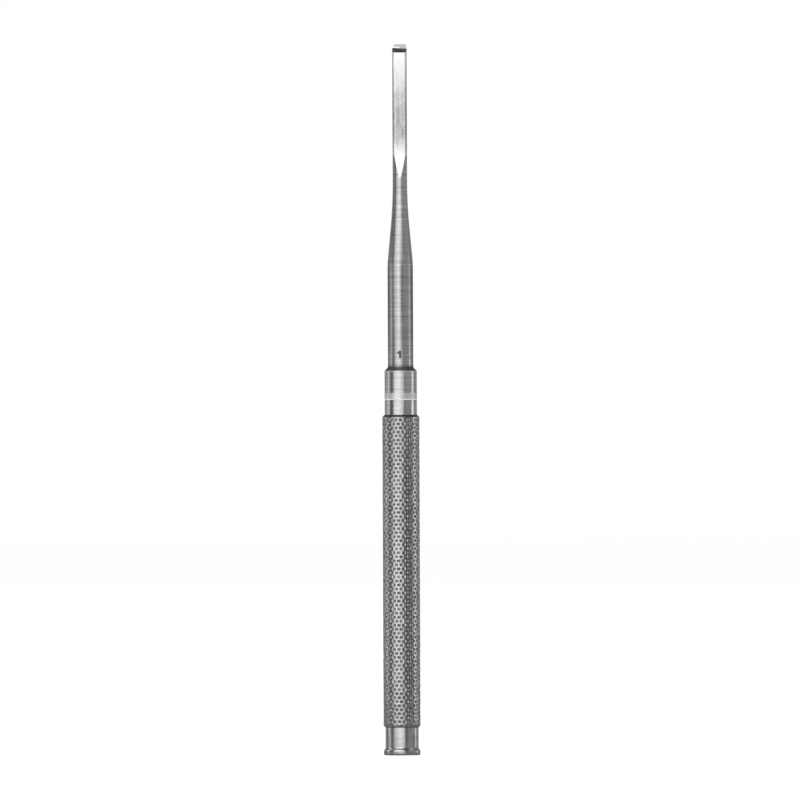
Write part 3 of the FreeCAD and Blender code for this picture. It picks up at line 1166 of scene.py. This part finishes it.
@dataclass
class LightTent:
    """A white tent round the chisel with grey flags in it, which only the steel reflects.

    Its wall is a sweep from a hole in the floor, up and over. Angles round it are degrees
    from the front towards +X, and elevations are degrees above the chisel's middle.
    """

    inner: float = 0.004
    lift: float = 0.00002
    reach: float = 0.5
    cove: float = 0.1
    wall_foot: float = 0.12
    wall_top: float = 0.3
    middle: float = 0.085
    column_step: float = 1.5
    white: float = 1.0
    flags: tuple[Flag, ...] = (
        Flag(Gate(-16, 4, 24.5, 27.5), 0.85),
        Flag(Gate(23.5, 26.5, 31, 35), 0.06),
        Flag(Gate(30, 34, 163, 169), 0.29),
        Flag(Gate(-169, -163, -77.5, -74.5), 0.34),
        Flag(Gate(-79, -75, -62.5, -57.5), 0.19),
        Flag(Gate(-63.5, -58.5, -31, -17), 0.72),
    )
    low_window: Gate = Gate(-40, -18, -14, 8)
    high_window: Gate = Gate(-66, -44, 12, 26)
    blade_window: Gate = Gate(-26, -14, 8, 18)
    window_foot: tuple[float, float] = (-12, 4)
    window_widens: tuple[float, float] = (4, 8)
    window_top: tuple[float, float] = (32, 43)
    window_tone: float = 1.4
    blade_height: Gate = Gate(6.2, 7.0, 10.5, 11.5)
    blade_left: Gate = Gate(-110, -90, -44, -24)
    blade_side_tone: float = 0.7
    blade_left_tone: float = 0.25
    eaves: float = 46
    eaves_drops: tuple[tuple[float, float, float], ...] = ((28, 30, 60), (13, 90, 120))
    roof_softness: float = 12
    dark_tone: float = 0.075
    foot_reach: tuple[float, float] = (0.005, 0.05)
    foot_tone: float = 0.18
    card_rings: tuple[CardRing, ...] = (
        # Waist
        CardRing(0.0005, 0.0072, (
            Card(104, 110, 2.2), Card(84, 103, 0.05), Card(38, 84, 0.22), Card(20, 38, 0.08),
            Card(-15, 19, 1.15), Card(-22, -15, 0.85), Card(-38, -22, 0.55), Card(-50, -38, 0.32),
            Card(-78, -50, 0.12), Card(-97, -86, 0.8), Card(-132, -104, 0.05),
        )),
        # Grip
        CardRing(0.0076, 0.0805, (
            Card(84, 102, 1.5), Card(33, 82, 0.14), Card(13, 33, 0.05), Card(-8, 12, 1.0),
            Card(-40, -8, 1.4), Card(-56, -40, 1.1), Card(-87, -57, 0.05), Card(-112, -93, 1.0),
        )),
        # Collar
        CardRing(0.081, 0.0965, (Card(90, 101, 1.2),)),
        CardRing(0.081, 0.0922, (Card(2, 21, 0.86), Card(-38, 2, 0.71))),
        CardRing(0.081, 0.0965, (Card(-78, -49, 0.1), Card(-103, -93, 0.75))),
        # Shank
        CardRing(0.0967, 0.1206, (
            Card(85, 97, 0.8), Card(110, 160, 0.16), Card(-98, -84, 0.68), Card(-160, -118, 0.14),
        )),
        CardRing(0.0967, 0.1315, (Card(4, 24, 0.1),)),
        CardRing(0.109, 0.1315, (Card(-8, 4, 0.68),)),
        # Neck
        CardRing(0.126, 0.139, (Card(-125, -75, 0.18),)),
    )
    card_distance: float = 0.06
    chisel_radius: float = 4.0 * MM
    shelf: Shelf = Shelf(40, 93, 0.008, 0.058, 0.0074, 0.26)

    def profile(self) -> Array:
        """Distance and height of the sweep: along the floor, round a cove, up and over.

        Returns:
            (distance, height) pairs.
        """
        cove_start = self.reach - self.cove
        floor = np.linspace([self.inner, self.lift], [cove_start, self.lift], 24)
        turn = np.linspace(0, math.pi / 2, 9)[1:, None]
        centre = np.array([cove_start, self.lift + self.cove])
        cove = centre + self.cove * np.hstack([np.sin(turn), -np.cos(turn)])
        wall = np.linspace([self.reach, self.wall_foot], [self.reach, self.wall_top], 10)
        over = np.linspace(0, math.pi / 2, 30)[1:, None]
        dome = np.array([0.0, self.wall_top]) + self.reach * np.hstack([np.cos(over), np.sin(over)])
        return np.vstack([floor, cove, wall, dome])

    def radiance(self, azimuth: Array, elevation: Array, distance: Array) -> Array:
        """Brightness of the tent: white, greyed by the flags, brighter in the front window.

        Each part mixes itself in by its share: tone + (its tone - tone) * share. The window
        is narrow low down and wide above, where the roof's dark edge ends it.

        Args:
            azimuth: degrees from the front, one to a column.
            elevation: degrees above the chisel's middle, one to a row.
            distance: distance from the axis, one to a row.

        Returns:
            The brightness, rows by columns.
        """
        tone = np.full(azimuth.shape, self.white)
        for flag in self.flags:
            tone = tone + (flag.tone - tone) * flag.place.share(azimuth)
        at_blade = self.blade_height.share(elevation)
        left = self.blade_left.share(azimuth)
        side = self.blade_side_tone + (self.blade_left_tone - self.blade_side_tone) * left
        tone = tone + (side - tone) * at_blade
        low, wide = self.low_window.share(azimuth), self.high_window.share(azimuth)
        wide = wide + (self.blade_window.share(azimuth) - wide) * at_blade
        high = smooth_step(*self.window_widens, elevation)
        window = low * smooth_step(*self.window_foot, elevation) * (1 - high) + wide * high
        below_top = 1 - smooth_step(*self.window_top, elevation)
        tone = tone + (self.window_tone - tone) * window * below_top
        eaves = np.full(azimuth.shape, self.eaves)
        for drop, start, end in self.eaves_drops:
            eaves = eaves - drop * smooth_step(start, end, np.abs(azimuth))
        roof = smooth_step(eaves, eaves + self.roof_softness, elevation)
        tone = tone + (self.dark_tone - tone) * roof
        foot = (1 - smooth_step(*self.foot_reach, distance)) * (elevation < 0)
        return tone + (self.foot_tone - tone) * foot

    def build(self) -> None:
        """Builds the tent, its cards and its shelf, seen by reflections only."""
        cloth = self.cloth()
        profile = self.profile()
        azimuth = np.arange(-180, 180, self.column_step)
        elevation = np.degrees(np.arctan2(profile[:, 1] - self.middle, profile[:, 0]))
        tone = self.radiance(azimuth[None], elevation[:, None], profile[:, :1])
        grid = around(np.radians(azimuth)[None], profile[:, :1], profile[:, 1:])
        self.hang("light_tent", grid, ring_quads(*grid.shape[:2])[:, ::-1], tone, cloth)
        cards = [(ring, card) for ring in self.card_rings for card in ring.cards]
        for i, (ring, card) in enumerate(cards):
            mirrored = np.radians(np.linspace(card.start, card.end, 5))[None]
            aside = np.arcsin(self.chisel_radius * np.sin(mirrored / 2) / self.card_distance)
            grid = around(mirrored - aside, self.card_distance, np.array([[ring.foot], [ring.top]]))
            self.hang(f"light_card_{i}", grid, strip_quads(*grid.shape[:2]), card.tone, cloth)
        shelf = self.shelf
        across = np.radians(np.linspace(shelf.start, shelf.end, 9))[None]
        grid = around(across, np.array([[shelf.inner], [shelf.outer]]), np.array([[shelf.height]]))
        self.hang("light_shelf", grid, strip_quads(*grid.shape[:2]), shelf.tone, cloth)

    @staticmethod
    def cloth() -> Material:
        """Makes a glowing cloth that takes its brightness from the mesh.

        Returns:
            The material.
        """
        material = bpy.data.materials.new("tent_cloth")
        graph = fresh_graph(material)
        stored = graph.add("ShaderNodeAttribute", None, attribute_name="radiance")
        glow = graph.add("ShaderNodeEmission", {"Color": WHITE, "Strength": stored.outputs["Fac"]})
        graph.add("ShaderNodeOutputMaterial", {"Surface": glow.outputs[0]})
        return material

    @staticmethod
    def hang(name: str, grid: Array, quads: Array, tone: Array | float, cloth: Material) -> None:
        """Adds a glowing sheet that only reflections see.

        Args:
            name: the sheet's name.
            grid: its points, rows by columns by 3.
            quads: its faces.
            tone: the brightness, of each point or of all.
            cloth: the glowing material.
        """
        sheet = make_piece(name, grid.reshape(-1, 3), [quads], sharp=180)
        set_values(sheet, "radiance", np.broadcast_to(tone, grid.shape[:2]))
        sheet.data.materials.append(cloth)
        sheet.visible_camera = False
        sheet.visible_diffuse = False
        sheet.visible_shadow = False
        sheet.visible_transmission = False
        sheet.visible_volume_scatter = False


@dataclass(frozen=True)
class Lamp:
    """A large soft lamp: its name, where it stands and its power in watts."""

    name: str
    place: tuple[float, float, float]
    power: float


@dataclass
class Studio:
    """Floor, tent, lamps, world and camera."""

    distance: float = 4.0
    sensor: float = 36.0
    metres_per_pixel: float = 0.2391 * MM
    image_side: int = 800
    axis_column: float = 400.76
    floor_row: float = 755.3
    roll: float = -0.23
    floor_rings: tuple[float, ...] = (0.02, 0.1, 0.5, 2.0, 6.0)
    floor_colour: tuple[float, ...] = (0.8, 0.8, 0.8, 1)
    floor_glow: float = 0.62
    soft_level: float = 0.45
    lamps: tuple[Lamp, ...] = (
        Lamp("key_lamp", (-0.9, -1.0, 1.5), 14.0),
        Lamp("fill_lamp", (1.1, -0.8, 1.1), 7.0),
    )
    lamp_size: float = 0.9
    lamp_aim: tuple[float, float, float] = (0, 0, 0.06)

    def build(self) -> None:
        """Builds the whole studio."""
        LightTent().build()
        self.add_floor()
        self.add_world()
        self.add_lamps()
        self.add_camera()

    @staticmethod
    def seen(graph: Graph) -> Socket:
        """Tells which rays show the studio's white.

        Args:
            graph: the tree that asks.

        Returns:
            1 for camera, glossy and transmission rays, and 0 for the rest.
        """
        path = graph.add("ShaderNodeLightPath").outputs
        either = graph.maths("MAXIMUM", path["Is Camera Ray"], path["Is Glossy Ray"])
        return graph.maths("MAXIMUM", either, path["Is Transmission Ray"])

    def add_floor(self) -> None:
        """A pale round floor that fades into the white behind it and keeps the shadow."""
        angles = np.linspace(0, 2 * math.pi, 128, endpoint=False)[None]
        rings = np.array(self.floor_rings)[:, None]
        grid = around(angles, rings, np.zeros_like(rings))
        points = np.vstack([grid.reshape(-1, 3), [[0, 0, 0]]])
        centre = fan(np.arange(angles.size), len(points) - 1, True)
        faces = [ring_quads(*grid.shape[:2])[:, ::-1], centre]
        floor = make_piece("floor", points, faces, sharp=180)
        material = bpy.data.materials.new("pale_floor")
        graph = fresh_graph(material)
        pale = graph.add("ShaderNodeBsdfDiffuse", {"Color": self.floor_colour})
        share = graph.maths("MULTIPLY", self.seen(graph), self.floor_glow)
        glow = graph.add("ShaderNodeEmission", {"Color": WHITE, "Strength": share})
        both = graph.add("ShaderNodeAddShader", {0: pale.outputs[0], 1: glow.outputs[0]})
        graph.add("ShaderNodeOutputMaterial", {"Surface": both.outputs[0]})
        floor.data.materials.append(material)

    def add_world(self) -> None:
        """White where it is seen or reflected, and a plain soft level where it only lights."""
        world = bpy.data.worlds.new("studio_white")
        graph = fresh_graph(world)
        strength = graph.span(self.seen(graph), 0, 1, self.soft_level, 1.0)
        back = graph.add("ShaderNodeBackground", {"Color": WHITE, "Strength": strength})
        graph.add("ShaderNodeOutputWorld", {"Surface": back.outputs[0]})
        bpy.context.scene.world = world

    def add_lamps(self) -> None:
        """Two large soft lamps, above left and right, which the steel doesn't mirror."""
        for lamp in self.lamps:
            light = bpy.data.lights.new(lamp.name, "AREA")
            light.shape = "DISK"
            light.size = self.lamp_size
            light.energy = lamp.power
            hung = bpy.data.objects.new(lamp.name, light)
            hung.location = lamp.place
            hung.rotation_mode = "QUATERNION"
            aim = Vector(self.lamp_aim) - Vector(lamp.place)
            hung.rotation_quaternion = aim.to_track_quat("-Z", "Y")
            hung.visible_glossy = False
            bpy.context.scene.collection.objects.link(hung)

    def add_camera(self) -> None:
        """A level camera far in front, turned a little about its line of sight."""
        lens = bpy.data.cameras.new("camera")
        lens.sensor_width = self.sensor
        lens.lens = self.sensor * self.distance / (self.image_side * self.metres_per_pixel)
        lens.clip_start, lens.clip_end = 0.1, 50.0
        camera = bpy.data.objects.new("camera", lens)
        half = self.image_side / 2
        height = (self.floor_row - half) * self.metres_per_pixel
        aside = (half - self.axis_column) * self.metres_per_pixel
        level = Matrix.Rotation(math.radians(90), 4, "X")
        turned = level @ Matrix.Rotation(math.radians(self.roll), 4, "Z")
        camera.matrix_world = Matrix.Translation((aside, -self.distance, height)) @ turned
        bpy.context.scene.collection.objects.link(camera)
        bpy.context.scene.camera = camera


def main() -> None:
    """Builds the chisel's lengths and the studio."""
    effects = Effects()
    for part in (StrikingHead(), KnurledGrip(), Collar(), ShankAndBlade()):
        part.build(effects)
    Studio().build()
    bpy.context.scene.view_settings.view_transform = "Standard"


if __name__ == "__main__":
    main()
